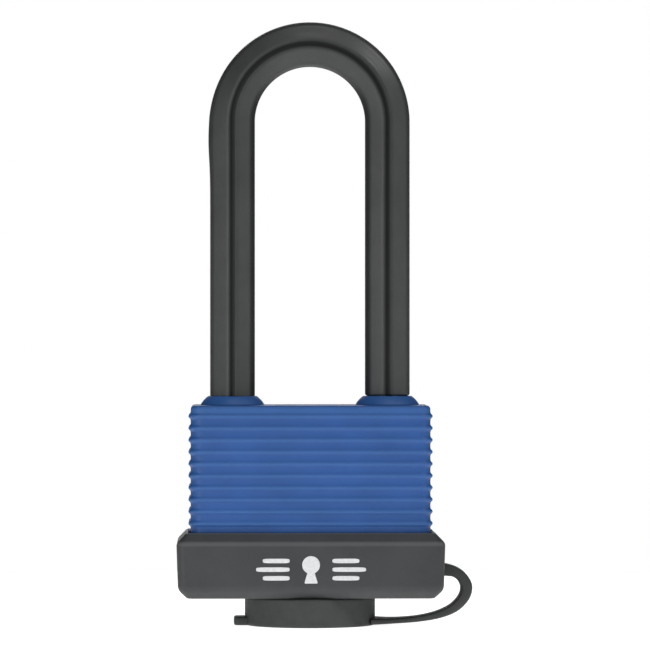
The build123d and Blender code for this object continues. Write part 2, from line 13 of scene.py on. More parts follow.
import bmesh
import bpy
import numpy as np
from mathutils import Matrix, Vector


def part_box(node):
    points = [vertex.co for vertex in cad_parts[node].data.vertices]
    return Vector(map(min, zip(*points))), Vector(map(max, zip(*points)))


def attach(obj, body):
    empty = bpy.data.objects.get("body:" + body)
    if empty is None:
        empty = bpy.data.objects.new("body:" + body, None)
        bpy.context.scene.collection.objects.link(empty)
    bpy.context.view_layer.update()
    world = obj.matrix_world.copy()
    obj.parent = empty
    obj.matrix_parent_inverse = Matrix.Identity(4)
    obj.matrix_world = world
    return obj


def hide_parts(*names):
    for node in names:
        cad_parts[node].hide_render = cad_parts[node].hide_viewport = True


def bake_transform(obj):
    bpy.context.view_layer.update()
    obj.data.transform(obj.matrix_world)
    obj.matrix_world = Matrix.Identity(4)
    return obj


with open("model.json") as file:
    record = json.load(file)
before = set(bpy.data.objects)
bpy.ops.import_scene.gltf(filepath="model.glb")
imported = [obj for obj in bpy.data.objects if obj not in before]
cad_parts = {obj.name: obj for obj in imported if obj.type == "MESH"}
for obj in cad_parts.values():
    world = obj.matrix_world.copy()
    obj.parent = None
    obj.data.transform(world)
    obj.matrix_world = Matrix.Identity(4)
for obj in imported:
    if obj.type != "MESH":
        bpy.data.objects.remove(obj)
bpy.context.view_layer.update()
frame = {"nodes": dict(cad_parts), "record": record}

MM = 0.001

# %% [markdown]
# ## Camera
#
# A long lens from far back keeps the uprights parallel and the front face in proportion. A short lens
# close by would show the same lock with swollen edges. The camera looks level, at the middle of the
# lock's height, and is turned by a degree.

# %% Camera
CAMERA_DISTANCE = 1.0
CAMERA_SIDE = 3.0 * MM
CAMERA_HEIGHT = 59.6 * MM
CAMERA_TURN = radians(-1.1)  # a hair to the left, as the lock stands a hair off square
FRAME_WIDTH = 129.35 * MM  # what the view takes in at the lock's mid plane

camera_data = bpy.data.cameras.new("camera")
camera_data.sensor_width = 36.0
camera_data.lens = camera_data.sensor_width * CAMERA_DISTANCE / FRAME_WIDTH
camera_data.clip_start = 0.01
camera = bpy.data.objects.new("camera", camera_data)
camera.location = (
    CAMERA_SIDE * cos(CAMERA_TURN) + CAMERA_DISTANCE * sin(CAMERA_TURN),
    CAMERA_SIDE * sin(CAMERA_TURN) - CAMERA_DISTANCE * cos(CAMERA_TURN),
    CAMERA_HEIGHT,
)
camera.rotation_euler = (radians(90), 0, CAMERA_TURN)
bpy.context.scene.collection.objects.link(camera)
bpy.context.scene.camera = camera
print(f"lens {camera_data.lens:.0f} mm at {CAMERA_DISTANCE:.1f} m")

# %% [markdown]
# ## Light
#
# Black plastic shows its form only through what it mirrors. A white room all round would turn its
# edges grey, so the room is white to the camera alone and dim to everything it lights. Eight soft
# lamps do the rest. Broad ones in front, at each side and behind give even faces, and one overhead
# lights the crown of the shackle. Three small ones pick things out: one low on the left for the base
# cover, one above the jacket for its collars, and one high on the right for a streak along the bend.

# %% Lamps
def soft_lamp(name, place, size, power, target):
    """A square area light at place, in metres, turned to face the target point."""
    data = bpy.data.lights.new(name, "AREA")
    data.shape = "SQUARE"
    data.size = size
    data.energy = power
    lamp = bpy.data.objects.new(name, data)
    lamp.location = place
    aim = bpy.data.objects.new(name + "_aim", None)
    aim.location = target
    bpy.context.scene.collection.objects.link(lamp)
    bpy.context.scene.collection.objects.link(aim)
    track = lamp.constraints.new("TRACK_TO")
    track.target = aim
    track.track_axis = "TRACK_NEGATIVE_Z"
    track.up_axis = "UP_Y"


COVER_MIDDLE = (0.0, 0.0, 0.02)
COLLARS = (0.0, 0.0, 0.045)
LOCK_MIDDLE = (0.0, 0.0, 0.055)
CROWN = (0.0, 0.0, 0.10)
BEND = (0.0, 0.0, 0.11)
LAMPS = (  # name, place and side in metres, power in watts, what it faces
    ("front_light", (-0.45, -1.00, 0.18), 0.55, 2.0, LOCK_MIDDLE),
    ("near_left_light", (-0.16, -0.20, 0.035), 0.10, 0.070, COVER_MIDDLE),
    ("collar_light", (-0.10, -0.34, 0.27), 0.12, 0.085, COLLARS),
    ("crown_light", (0.04, -0.42, 1.00), 0.36, 1.5, CROWN),
    ("bend_light", (0.54, -0.36, 0.62), 0.08, 1.6, BEND),
    ("left_light", (-0.95, -0.42, 0.05), 0.40, 0.35, LOCK_MIDDLE),
    ("right_light", (0.95, -0.62, 0.05), 0.45, 1.0, LOCK_MIDDLE),
    ("back_light", (0.0, 1.05, 0.30), 0.60, 2.0, LOCK_MIDDLE),
)
for lamp_settings in LAMPS:
    soft_lamp(*lamp_settings)
print(len(LAMPS), "lamps")


# %% [markdown]
# ## Shader nodes
#
# Every finish below is a small network of nodes. Made by hand, each node takes four or five lines, so
# one function adds a node, sets it and links it, and a second one links what comes out to the shader.
# Colours are written as sRGB codes, as a colour picker shows them, and one function makes them linear.

# %% Nodes
def add(tree, kind, inputs=None, **settings):
    """Adds one shader node. inputs maps a socket's name or number to a value or to a socket to link."""
    made = tree.nodes.new("ShaderNode" + kind)
    for key, value in settings.items():
        setattr(made, key, value)
    for key, value in (inputs or {}).items():
        if isinstance(value, bpy.types.NodeSocket):
            tree.links.new(value, made.inputs[key])
        else:
            made.inputs[key].default_value = value
    return made


def drive(tree, shader, **sources):
    """Links each source to the shader's input of that name."""
    for name, source in sources.items():
        tree.links.new(source, shader.inputs[name.replace("_", " ")])


# %% Room
ROOM_GREY = (0.05, 0.05, 0.051, 1.0)  # linear light
WHITE = (1.0, 1.0, 1.0, 1.0)

room = bpy.data.worlds.new("studio")
bpy.context.scene.world = room
room.use_nodes = True
room.node_tree.nodes.clear()
sight = add(room.node_tree, "LightPath")
seen = add(room.node_tree, "Background", {"Color": WHITE, "Strength": 1.0})
felt = add(room.node_tree, "Background", {"Color": ROOM_GREY, "Strength": 1.0})
both = add(room.node_tree, "MixShader", {
    0: sight.outputs["Is Camera Ray"], 1: felt.outputs[0], 2: seen.outputs[0],
})
add(room.node_tree, "OutputWorld", {"Surface": both.outputs[0]})
bpy.context.scene.view_settings.view_transform = "Standard"
print("room:", len(room.node_tree.nodes), "nodes")


# %% Colour
def linear(code):
    """A colour code such as 3d5c98 is sRGB, and shaders work in linear light."""
    channels = np.array([int(code[i:i + 2], 16) for i in (0, 2, 4)]) / 255
    light = np.where(channels <= 0.04045, channels / 12.92, ((channels + 0.055) / 1.055) ** 2.4)
    return (*light.tolist(), 1.0)


# %% [markdown]
# ## Surfaces from numbers
#
# A moulded part is a smooth skin, and a skin is a function of two numbers: how far round, and how far
# along. Box modelling could make these shapes too, but a rib that repeats ten times, or a groove that
# follows a bent bar, is one line of arithmetic here and a long afternoon by hand. So every new piece
# below is a grid of points worked out as whole arrays, and one function turns grids into a mesh. From
# here on, sizes are in millimetres.

# %% Grids to meshes
SAME_POINT = 0.0015  # points closer than this become one
NO_LENGTH = 0.001  # edges shorter than this are dropped


def grid_faces(rows, columns, wrap_rows, wrap_columns):
    """Each cell of a grid as four corner numbers, and the row and column of each corner. A wrapped
    direction also joins the last line to the first."""
    row = np.arange(rows if wrap_rows else rows - 1)
    column = np.arange(columns if wrap_columns else columns - 1)
    cell_row, cell_column = np.meshgrid(row, column, indexing="ij")
    corners = []
    for step_row, step_column in ((0, 0), (1, 0), (1, 1), (0, 1)):
        r = cell_row + step_row
        c = cell_column + step_column
        corners.append((r % rows * columns + c % columns, r, c))
    numbers = np.stack([number for number, r, c in corners], axis=-1).reshape(-1, 4)
    places = np.stack([np.stack([r, c], axis=-1) for number, r, c in corners], axis=-2).reshape(-1, 4, 2)
    return numbers, places


def travelled(points, axis, wrap):
    """Distance in millimetres along one direction of a grid, averaged over the other."""
    if wrap:
        points = np.concatenate([points, points.take([0], axis=axis)], axis=axis)
    steps = np.linalg.norm(np.diff(points, axis=axis), axis=2).mean(axis=1 - axis)
    return np.concatenate([[0.0], np.cumsum(steps)])


def make_piece(name, grids, material, body, replaces=(), detail=None):
    """One closed mesh from grids of points in millimetres, each (points, wrap rows, wrap columns).
    Points that meet are merged, which closes poles and seams. The UV map is in millimetres along the
    rows and columns. detail gives one number per point, for materials to read."""
    points, faces, maps, details, start = [], [], [], [], 0
    for index, (grid, wrap_rows, wrap_columns) in enumerate(grids):
        rows, columns = grid.shape[:2]
        numbers, places = grid_faces(rows, columns, wrap_rows, wrap_columns)
        down = travelled(grid, 0, wrap_rows)
        across = travelled(grid, 1, wrap_columns)
        points.append(grid.reshape(-1, 3) * MM)
        faces.append(numbers + start)
        maps.append(np.stack([across[places[..., 1]], down[places[..., 0]]], axis=-1).reshape(-1, 2))
        value = detail[index] if detail else np.zeros((rows, columns))
        details.append(np.broadcast_to(value, (rows, columns)).reshape(-1))
        start += rows * columns
    mesh = bpy.data.meshes.new(name)
    mesh.from_pydata(np.concatenate(points).tolist(), [], np.concatenate(faces).tolist())
    uv = mesh.uv_layers.new(name="surface_mm")
    uv.data.foreach_set("uv", np.concatenate(maps).astype(np.float32).ravel())
    mesh.attributes.new("detail", "FLOAT", "POINT").data.foreach_set("value", np.concatenate(details))
    shell = bmesh.new()
    shell.from_mesh(mesh)
    bmesh.ops.remove_doubles(shell, verts=shell.verts, dist=SAME_POINT * MM)
    bmesh.ops.dissolve_degenerate(shell, edges=shell.edges, dist=NO_LENGTH * MM)
    bmesh.ops.recalc_face_normals(shell, faces=shell.faces)
    open_edges = sum(1 for edge in shell.edges if len(edge.link_faces) != 2)
    shell.to_mesh(mesh)
    shell.free()
    mesh.shade_smooth()
    mesh.materials.append(material)
    piece = bpy.data.objects.new(name, mesh)
    bpy.context.scene.collection.objects.link(piece)
    if replaces:
        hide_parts(*replaces)
    if body:
        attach(piece, body)
    print(f"{name}: {len(mesh.polygons)} faces, {open_edges} open edges")
    return piece


# %% Rounded rectangles
ARC_STEPS = 9
STRAIGHT_STOPS = np.concatenate([[0.012, 0.04], np.linspace(0.08, 0.92, 21), [0.96, 0.988]])


def rounded_loop(half_x, half_y, corner):
    """Points round a rounded rectangle, anticlockwise from the middle of its right side. Each corner is
    a quarter circle about its own centre; each straight runs from one arc's end to the next one's start,
    stopping at fixed shares of its length. Loops of any size have matching points."""
    corner = min(corner, half_x, half_y)
    sides = ((1, 1), (-1, 1), (-1, -1), (1, -1))
    arcs = []
    for quarter, (side_x, side_y) in enumerate(sides):
        angle = (quarter + np.linspace(0, 1, ARC_STEPS)) * pi / 2
        x = side_x * (half_x - corner) + corner * np.cos(angle)
        y = side_y * (half_y - corner) + corner * np.sin(angle)
        arcs.append(np.stack([x, y], axis=1))
    loop = []
    for quarter, arc in enumerate(arcs):
        following = arcs[(quarter + 1) % 4][0]
        straight = arc[-1] + (following - arc[-1]) * STRAIGHT_STOPS[:, None]
        loop += [arc, straight]
    points = np.concatenate(loop)
    return np.roll(points, len(STRAIGHT_STOPS) // 2 + 1, axis=0)


def level(loop, height):
    """A flat loop lifted to a height."""
    return np.column_stack([loop, np.full(len(loop), height)])


print("points round a loop:", len(rounded_loop(2, 1, 0.5)))


# %% [markdown]
# ## Moulded vinyl, blue
#
# The jacket is dip-moulded or injected plasticised PVC, known as vinyl. It is coloured all through,
# so it needs no paint layer. The eye reads it by a satin sheen and a very fine grain from the mould.
# What stands proud, each rib's crest, the rim and the collars, gets a painted highlight: a paler blue
# where the light would catch it. A flat blue would look like paper, so the colour also drifts a little
# from one centimetre to the next.
# The real mould grain is finer than the 0.16 mm used here, which is as coarse as it needs to be to show.

# %% Shared patterns
def lock_millimetres(tree):
    """Object coordinates in millimetres, so that a pattern's scale is one over its real size."""
    place = add(tree, "TexCoord")
    scaled = add(tree, "VectorMath", {0: place.outputs["Object"], "Scale": 1 / MM}, operation="SCALE")
    return scaled.outputs[0]


def surface_millimetres(tree, along, across):
    """The piece's own UV map, which is in millimetres, stretched by two factors."""
    place = add(tree, "UVMap", uv_map="surface_mm")
    stretched = add(tree, "VectorMath", {0: place.outputs[0], 1: (across, along, 1.0)}, operation="MULTIPLY")
    return stretched.outputs[0]


def grain(tree, vector, size, detail):
    """Noise whose features are size millimetres across, with finer noise of detail octaves on it."""
    return add(tree, "TexNoise", {"Vector": vector, "Scale": 1.0 / size, "Detail": detail,
                                  "Roughness": 0.55, "Distortion": 0.0}).outputs["Fac"]


def spread(tree, factor, low, high, at_low, at_high):
    """A number that runs from at_low to at_high as the factor goes from low to high."""
    return add(tree, "MapRange", {"Value": factor, "From Min": low, "From Max": high,
                                  "To Min": at_low, "To Max": at_high}).outputs[0]


def shade(tree, factor, first, second, low=0.35, high=0.65, most=1.0):
    """A colour that starts as the first and takes on the second, as the factor goes from low to high.
    most is the second one's greatest share."""
    share = spread(tree, factor, low, high, 0.0, most)
    return add(tree, "Mix", {0: share, 6: first, 7: second}, data_type="RGBA").outputs[2]


def detail_of(tree):
    """The number that make_piece gave each point of the piece."""
    return add(tree, "Attribute", attribute_name="detail").outputs["Fac"]


def relief(tree, height, depth, below=None):
    """Bump of the given depth in millimetres, laid over an earlier one."""
    inputs = {"Height": height, "Distance": depth * MM, "Strength": 1.0}
    if below is not None:
        inputs["Normal"] = below
    return add(tree, "Bump", inputs).outputs[0]


def new_finish(name, **constants):
    """A material with one Principled shader whose constant values are set on its own sockets."""
    material = bpy.data.materials.new(name)
    material.use_nodes = True
    tree = material.node_tree
    shader = tree.nodes["Principled BSDF"]
    for key, value in constants.items():
        shader.inputs[key.replace("_", " ")].default_value = value
    return material, tree, shader


# %% Blue vinyl
blue_vinyl, tree, shader = new_finish("moulded blue vinyl", IOR=1.53, Specular_IOR_Level=0.42)
where = lock_millimetres(tree)
drift = grain(tree, where, 9.0, 2.0)
body_blue = shade(tree, drift, linear("1f4f91"), linear("24559b"))
# Painted highlight: each rib's crest, the rim and the collars are mixed towards a paler blue.
highlit_blue = shade(tree, detail_of(tree), body_blue, linear("3f70ae"), 0.35, 1.0, 0.4)
satin = spread(tree, grain(tree, where, 2.2, 4.0), 0.3, 0.7, 0.46, 0.58)
mould_grain = relief(tree, grain(tree, where, 0.16, 2.0), 0.004)
soft_waves = relief(tree, grain(tree, where, 2.6, 2.0), 0.010, mould_grain)
drive(tree, shader, Base_Color=highlit_blue, Roughness=satin, Normal=soft_waves)
print("blue vinyl:", len(tree.nodes), "nodes")

# %% [markdown]
# ## The ribbed jacket
#
# The jacket is one moulding: walls with ten raised ribs, a top, and two collars that hug the shackle
# legs. An array of boxes could stand for the ribs, but real ribs melt into the wall, and that soft
# foot is what the light shows. So the wall is one sheet: a rounded rectangle carried up a height
# profile, pushed out by a bump at each rib. The top is a second sheet on each half, drawn from the
# wall's rim in to a circle, up the collar, and down the hole that the leg passes through.

# %% Jacket sizes
jacket_low, jacket_high = [np.array(corner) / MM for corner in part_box("body_jacket")]
RIB_PROUD = 0.45
FRONT_RIB_SHARE = 0.62
RIB_HALF_HEIGHT = 0.40
RIB_PITCH = 2.35
RIB_COUNT = 10
TOP_RIB_DROP = 2.1
COLLAR_RISE = 1.8
JACKET_WALL = 1.4
JACKET_ROOF = 1.6
JACKET_CORNER = 2.2
JACKET_LEAST_CORNER = 0.8
JACKET_ROUND = 0.7
LEG_X = 15.4
jacket_x = jacket_high[0] - RIB_PROUD
jacket_y = jacket_high[1] - RIB_PROUD
jacket_top = jacket_high[2] - COLLAR_RISE
rib_heights = jacket_top - TOP_RIB_DROP - RIB_PITCH * np.arange(RIB_COUNT)
print(f"jacket {2 * jacket_x:.1f} by {2 * jacket_y:.1f} mm")
print(f"ribs from {rib_heights[-1]:.1f} to {rib_heights[0]:.1f} mm up")


# %% Rib profile
def rib_bump(height):
    """Each rib is 1 / (1 + d^4), where d is the distance from its crest over its half height: a round
    crest, a steep flank and a soft foot. The bumps add up."""
    distance = (height[:, None] - rib_heights[None, :]) / RIB_HALF_HEIGHT
    return (1 / (1 + distance ** 4)).sum(axis=1)


# %% Jacket walls
WALL_ROWS = 230
INNER_ROWS = 6
# The rim band at the top of the wall gets a painted highlight, at the share given next.
RIM_BAND = 1.5
RIM_HIGHLIGHT = 0.95

wall_z = np.linspace(jacket_low[2], jacket_top - JACKET_ROUND, WALL_ROWS)
wall_bump = rib_bump(wall_z)
round_angle = np.linspace(0, pi / 2, 8)[1:]
rim_inset = JACKET_ROUND * (1 - np.cos(round_angle))
rim_z = jacket_top - JACKET_ROUND + JACKET_ROUND * np.sin(round_angle)
inner_z = np.linspace(jacket_top - JACKET_ROOF, jacket_low[2], INNER_ROWS)
inner_inset = np.full(INNER_ROWS, JACKET_WALL)
heights = np.concatenate([inner_z, wall_z, rim_z])
insets = np.concatenate([inner_inset, -RIB_PROUD * wall_bump, rim_inset])
front_insets = np.where(insets < 0, insets * FRONT_RIB_SHARE, insets)
corners = np.maximum(JACKET_CORNER - insets, JACKET_LEAST_CORNER)
walls = np.stack([
    level(rounded_loop(jacket_x - inset, jacket_y - front_inset, corner), z)
    for z, inset, front_inset, corner in zip(heights, insets, front_insets, corners)
])
bumps = np.concatenate([np.zeros(INNER_ROWS), wall_bump, np.zeros(len(rim_z))])
# The share of painted highlight on each row: the rib bumps on the wall, a fixed share on the rim band.
crest_highlight = np.where(heights > jacket_top - RIM_BAND, RIM_HIGHLIGHT, bumps)[:, None]
print("jacket walls:", walls.shape[0], "rows of", walls.shape[1], "points")


# %% Jacket top and collars
COLLAR_FOOT = 6.4
COLLAR_MOUTH = 4.8
FLANK_BULGE = 0.3
LIP_ROUND = 0.12
CENTRE_LINE_STOPS = 12
HEEL_BORE = 4.72
TOE_BORE = 3.42
# The share of painted highlight on the collars.
COLLAR_HIGHLIGHT = 0.9


def half_rim(loop):
    """The part of a loop with x above zero, from the back to the front, closed by the centre line."""
    right = loop[loop[:, 0] > -1e-6]
    order = np.argsort(-np.arctan2(right[:, 1], right[:, 0] + 1e-9))
    right = right[order]
    centre_line = np.linspace(right[-1], right[0], CENTRE_LINE_STOPS)[1:-1]
    return np.concatenate([right, centre_line])


def collar_sheet(outer_rim, inner_rim, bore):
    """From the jacket's rim the top runs in a straight line to the collar's foot. The collar's flank is
    a straight slope, with FLANK_BULGE of the way from it to a quarter ellipse. It turns over a small
    round and drops through the roof as a hole. Each ring keeps the direction of its rim point from the
    leg's axis."""
    centre = np.array([LEG_X, 0.0])
    away = outer_rim[:, :2] - centre
    distance = np.linalg.norm(away, axis=1, keepdims=True)
    direction = away / distance
    tau = np.linspace(0, pi / 2, 9)
    straight = np.linspace(0, 1, 9)
    inward = FLANK_BULGE * np.cos(tau) + (1 - FLANK_BULGE) * (1 - straight)
    upward = FLANK_BULGE * np.sin(tau) + (1 - FLANK_BULGE) * straight
    flank_r = COLLAR_MOUTH + (COLLAR_FOOT - COLLAR_MOUTH) * inward
    flank_z = COLLAR_RISE * upward
    lip = np.linspace(0, pi / 2, 5)[1:]
    lip_r = bore + LIP_ROUND * (1 - np.sin(lip))
    lip_z = COLLAR_RISE - LIP_ROUND * (1 - np.cos(lip))
    flat_shares = np.array([0.0, 0.03, 0.3, 0.7, 0.95])
    rings = [outer_rim[:, :2] * (1 - s) + (centre + direction * COLLAR_FOOT) * s for s in flat_shares]
    ring_z = [jacket_top] * len(flat_shares)
    for radius, rise in zip(np.concatenate([flank_r, lip_r]), np.concatenate([flank_z, lip_z])):
        rings.append(centre + direction * radius)
        ring_z.append(jacket_top + rise)
    for height in (jacket_top, jacket_top - JACKET_ROOF):
        rings.append(centre + direction * bore)
        ring_z.append(height)
    rings.append(inner_rim[:, :2])
    ring_z.append(jacket_top - JACKET_ROOF)
    return np.stack([level(ring, z) for ring, z in zip(rings, ring_z)])


outer_rim = half_rim(walls[-1])
inner_rim = half_rim(walls[0])
toe_sheet = collar_sheet(outer_rim, inner_rim, TOE_BORE)
heel_sheet = collar_sheet(outer_rim, inner_rim, HEEL_BORE) * np.array([-1, 1, 1])
stands_proud = toe_sheet[:, 0, 2] > jacket_top + 0.01
# The collars stand proud, so they get the painted highlight as well.
collar_highlight = np.where(stands_proud, COLLAR_HIGHLIGHT, 0.0)[:, None]
print("each collar:", len(toe_sheet), "rings")

# %% Jacket piece
make_piece(
    "ribbed_jacket",
    [(walls, False, True), (toe_sheet, False, True), (heel_sheet, False, True)],
    blue_vinyl, "lock_body", ("body_jacket",),
    detail=[crest_highlight, collar_highlight, collar_highlight],
)

# %% [markdown]
# ## Extruded vinyl, black
#
# The sleeve is a soft PVC tube, extruded and slid over the bar before it is bent. Extrusion leaves
# faint lines that run the length of the tube, so the grain is stretched along the surface's own map
# and turns with the bend. Noise in space would cut straight through it instead. The bottom of the
# groove and the side that faces the other leg carry painted shade: they are painted darker and
# mirror less.

# %% Black vinyl
LINE_WIDTH = 0.35
LINE_STRETCH = 0.04  # an extrusion line's width as a share of its length

black_vinyl, tree, shader = new_finish("extruded black vinyl", IOR=1.52, Specular_IOR_Level=0.45)
where = lock_millimetres(tree)
along = surface_millimetres(tree, LINE_STRETCH, 1.0)
soil = grain(tree, where, 7.0, 4.0)
clean_black = shade(tree, soil, linear("3b3d3c"), linear("424443"))
groove_shade = detail_of(tree)
# Painted shade: the groove's bottom and the inner side are mixed towards near black and mirror less.
shaded_sleeve_black = shade(tree, groove_shade, clean_black, linear("0c0d0d"), 0.05, 0.7, 0.85)
shaded_specular = spread(tree, groove_shade, 0.05, 0.7, 0.5, 0.2)
lines = grain(tree, along, LINE_WIDTH, 3.0)
satin = spread(tree, lines, 0.3, 0.7, 0.40, 0.52)
fine_grain = relief(tree, grain(tree, where, 0.2, 2.0), 0.004, relief(tree, lines, 0.006))
drive(tree, shader, Base_Color=shaded_sleeve_black, Specular_IOR_Level=shaded_specular, Roughness=satin, Normal=fine_grain)
print("black vinyl:", len(tree.nodes), "nodes")

# %% [markdown]
# ## The shackle sleeve
#
# The sleeve's section isn't a circle. Two nearly flat facets meet at its front and two at its back,
# and a soft groove runs down each meeting line. The tube also swells a little outwards where the heel
# leg runs into the bend. A swept curve object could carry only one section, with no control of its
# ends. Here the section is a function of the angle round the bar, carried along a path of two
# straight legs and a half circle, and the same path in reverse makes the bore.

# %% Sleeve sizes
sleeve_low, sleeve_high = [np.array(corner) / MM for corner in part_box("shackle_sleeve")]
SLEEVE_RADIUS = (sleeve_high[1] - sleeve_low[1]) / 2
SLEEVE_BORE = 3.3
TOE_GAP = 0.03
BEND_RADIUS = LEG_X
bend_z = sleeve_high[2] - SLEEVE_RADIUS - BEND_RADIUS
heel_end = sleeve_low[2]
toe_end = jacket_high[2] + TOE_GAP
heel_run = bend_z - heel_end
toe_run = bend_z - toe_end
bend_run = pi * BEND_RADIUS
total_run = heel_run + bend_run + toe_run
print(f"sleeve {total_run:.0f} mm long, {2 * SLEEVE_RADIUS:.1f} mm across")

# %% Sleeve path and section
FACETS = ((0.0, radians(50)), (radians(-58), 0.0))  # where each starts and ends, from the front
FLATNESS = 0.9  # 0 is round, 1 is flat
GROOVE_WIDTH = 0.15  # radians
SHADE_START, SHADE_RUN = radians(50), radians(10)
SHADE_DEPTH = 0.4  # how dark the inner side is, where the groove's bottom is 1
SMOOTHING_ROUNDS = 3


def shackle_path(distance):
    """Point on the bar's axis and the direction towards the inside of the bow. The heel leg runs
    straight up, then the path turns half a circle about the bow's centre, then runs straight down."""
    turn = np.clip((distance - heel_run) / bend_run, 0, 1) * pi
    rise = np.minimum(distance - heel_run, 0)
    fall = np.maximum(distance - heel_run - bend_run, 0)
    height = bend_z + BEND_RADIUS * np.sin(turn) + rise - fall
    centre = np.stack([-BEND_RADIUS * np.cos(turn), 0 * turn, height], axis=-1)
    inward = np.stack([np.cos(turn), 0 * turn, -np.sin(turn)], axis=-1)
    return centre, inward


def sleeve_section(angle):
    """Radius, groove and darkness at an angle from the front towards the inside of the bow. The angle
    is folded, so that the back is the front's mirror image. A facet is a chord of the circle,
    R * cos(half width) / cos(angle from its middle), mixed with the circle by FLATNESS. The groove is
    a bell curve, 1 at its bottom. Averaging each radius with its neighbours rounds the facets' edges.
    Painted shade is the groove, or a step up to SHADE_DEPTH on the side that faces the other leg."""
    folded = np.arcsin(np.sin(angle))
    radius = np.full_like(angle, SLEEVE_RADIUS)
    for start, end in FACETS:
        middle, half = (start + end) / 2, (end - start) / 2
        chord = SLEEVE_RADIUS * cos(half) / np.cos(np.clip(folded - middle, -half, half))
        facet = FLATNESS * chord + (1 - FLATNESS) * SLEEVE_RADIUS
        radius = np.where(np.abs(folded - middle) < half, facet, radius)
    for _ in range(SMOOTHING_ROUNDS):
        radius = (np.roll(radius, 1) + 2 * radius + np.roll(radius, -1)) / 4
    groove = np.exp(-(folded / GROOVE_WIDTH) ** 2)
    inner_side = np.clip((folded - SHADE_START) / SHADE_RUN, 0, 1)
    return radius, groove, np.maximum(groove, SHADE_DEPTH * inner_side)


# %% Sleeve piece
GROOVE_DEPTH = 0.55
END_ROUND = 0.5
SWELL_HEIGHT, SWELL_LENGTH, SWELL_BELOW_BEND = 0.35, 5.5, 3.5
BORE_ROWS = 90

angle = np.linspace(0, 2 * pi, 180, endpoint=False)
radius, groove, darkness = sleeve_section(angle)
tau = np.linspace(0, pi / 2, 7)
from_end = END_ROUND * (1 - np.sin(tau))
end_inset = END_ROUND * (1 - np.cos(tau))
between_ends = np.concatenate([
    np.linspace(END_ROUND, heel_run - 1, 34),
    np.linspace(heel_run - 0.5, heel_run + bend_run + 0.5, 84),
    np.linspace(heel_run + bend_run + 1, total_run - END_ROUND, 32),
])
outside = np.concatenate([from_end[::-1][:-1], between_ends, total_run - from_end[1:]])
shrink = np.concatenate([end_inset[::-1][:-1], np.zeros(len(between_ends)), end_inset[1:]])
swell_along = SWELL_HEIGHT * np.exp(-((outside - heel_run + SWELL_BELOW_BEND) / SWELL_LENGTH) ** 2)
swell_round = np.clip(-np.sin(angle), 0, 1) ** 2
skin = radius - GROOVE_DEPTH * groove - shrink[:, None] + swell_along[:, None] * swell_round
skin = np.concatenate([skin, np.full((BORE_ROWS, len(angle)), SLEEVE_BORE)])
stations = np.concatenate([outside, np.linspace(total_run, 0, BORE_ROWS)])
centre, inward = shackle_path(stations)
front = np.array([0.0, -1.0, 0.0])
sleeve_points = centre[:, None, :] + skin[..., None] * (
    np.cos(angle)[None, :, None] * front + np.sin(angle)[None, :, None] * inward[:, None, :])
# The darkness goes to the material as painted shade.
make_piece("shackle_sleeve_vinyl", [(sleeve_points, True, True)], black_vinyl, "shackle",
           ("shackle_sleeve",), detail=[darkness[None, :]])

# %% [markdown]
# ## Spark-eroded black plastic
#
# The cover is injection-moulded nylon or ABS. Its mould was spark-eroded, which leaves a fine, even
# pebble. Under a soft light that pebble turns a mirror into a sheen, so the roughness does most of
# the work and the relief is only microns deep. The upper edges carry a painted highlight, a slightly
# lighter black. The pebble is 0.22 mm across, coarser than a real one, so that it shows.

# %% Black moulded plastic
PEBBLE = 0.22

black_moulding, tree, shader = new_finish("spark-eroded black moulded nylon", IOR=1.53,
                                          Specular_IOR_Level=0.35)
where = lock_millimetres(tree)
cloud = grain(tree, where, 11.0, 3.0)
cover_black = shade(tree, cloud, linear("37393a"), linear("3d3f40"))
# Painted highlight: the upper edges are mixed towards a lighter grey.
edge_highlit_black = shade(tree, detail_of(tree), cover_black, linear("585a5b"), 0.0, 1.0, 0.85)
sheen = spread(tree, grain(tree, where, 1.5, 5.0), 0.3, 0.7, 0.47, 0.58)
pebble = add(tree, "TexVoronoi", {"Vector": where, "Scale": 1 / PEBBLE}).outputs["Distance"]
sink_marks = relief(tree, grain(tree, where, 3.0, 2.0), 0.010)
pebbled = relief(tree, pebble, 0.006, sink_marks)
drive(tree, shader, Base_Color=edge_highlit_black, Roughness=sheen, Normal=pebbled)
print("black moulded nylon:", len(tree.nodes), "nodes")

# %% [markdown]
# ## The base cover
#
# The cover is a shoe for the lock: chamfered above and below, with a floor, and a round collar
# underneath that the cap grips. It could be a box with bevels, but then its collar would be a
# separate cylinder stuck on. One closed sheet makes it whole: a loop that starts inside the shoe,
# goes over the lip and down the outside, turns under, shrinks into the collar's circle, and comes
# back up through the key port. Along the way the loop changes from a rectangle to a circle, and then
# back. Every edge is rounded, the lower outer one most.

# %% Cover sizes
cover_low, cover_high = [np.array(corner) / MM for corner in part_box("base_cover")]
cover_x, cover_y = cover_high[0], cover_high[1]
KEY_COLLAR_DROP = 3.2
COVER_BOTTOM = cover_low[2] + KEY_COLLAR_DROP
COVER_TOP = cover_high[2]
TOP_CHAMFER = 2.0
BASE_CHAMFER = 1.8
EDGE_ROUND = 0.55
BASE_ROUND = 0.85
SEAT_ROUND = 0.05
COLLAR_MARGIN = 0.3
PORT_MARGIN = 0.2
UNDERSIDE_REACH = 0.95
